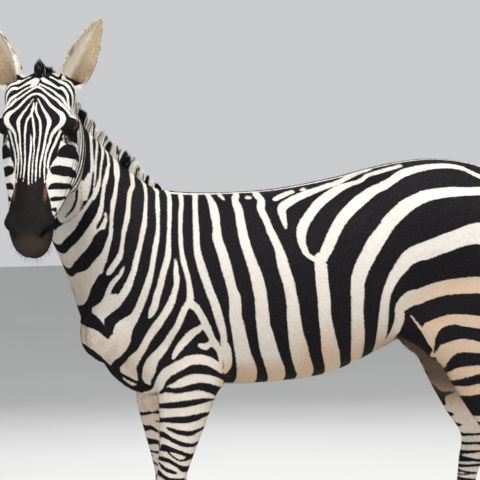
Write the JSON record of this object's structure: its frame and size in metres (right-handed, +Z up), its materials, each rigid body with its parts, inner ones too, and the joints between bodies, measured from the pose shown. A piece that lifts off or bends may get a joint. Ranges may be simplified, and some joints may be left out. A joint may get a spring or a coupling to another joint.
{
  "type": "zebra model",
  "caption": "Standing plains zebra with its head turned to its left, a still life-size museum model with a short upright mane and a tasselled tail.",
  "frame": {"origin": "middle of the model's bounding box, on the floor under the hoof soles", "axes": "+Z up; -X the way the body faces; +Y towards the zebra's right side, so its left side faces -Y"},
  "size_m": [1.7471, 0.6868, 1.7796],
  "materials": {
    "coat": "short flat fur, black and warm white in stripes",
    "hair": "stiff longer hair, black and white on the mane",
    "hoof": "dark horn with fine growth rings",
    "eye": "wet, nearly black brown"
  },
  "bodies": {
    "root": {"trunk": "coat", "neck": "coat", "head": "coat", "ear_left": "coat", "ear_right": "coat", "eye_left": "eye", "eye_right": "eye", "mane": "hair", "forelock": "hair", "foreleg_left": "coat", "foreleg_right": "coat", "hindleg_left": "coat", "hindleg_right": "coat", "forehoof_left": "hoof", "forehoof_right": "hoof", "hindhoof_left": "hoof", "hindhoof_right": "hoof", "tail": "coat", "tail_switch": "hair"}
  },
  "joints": []
}
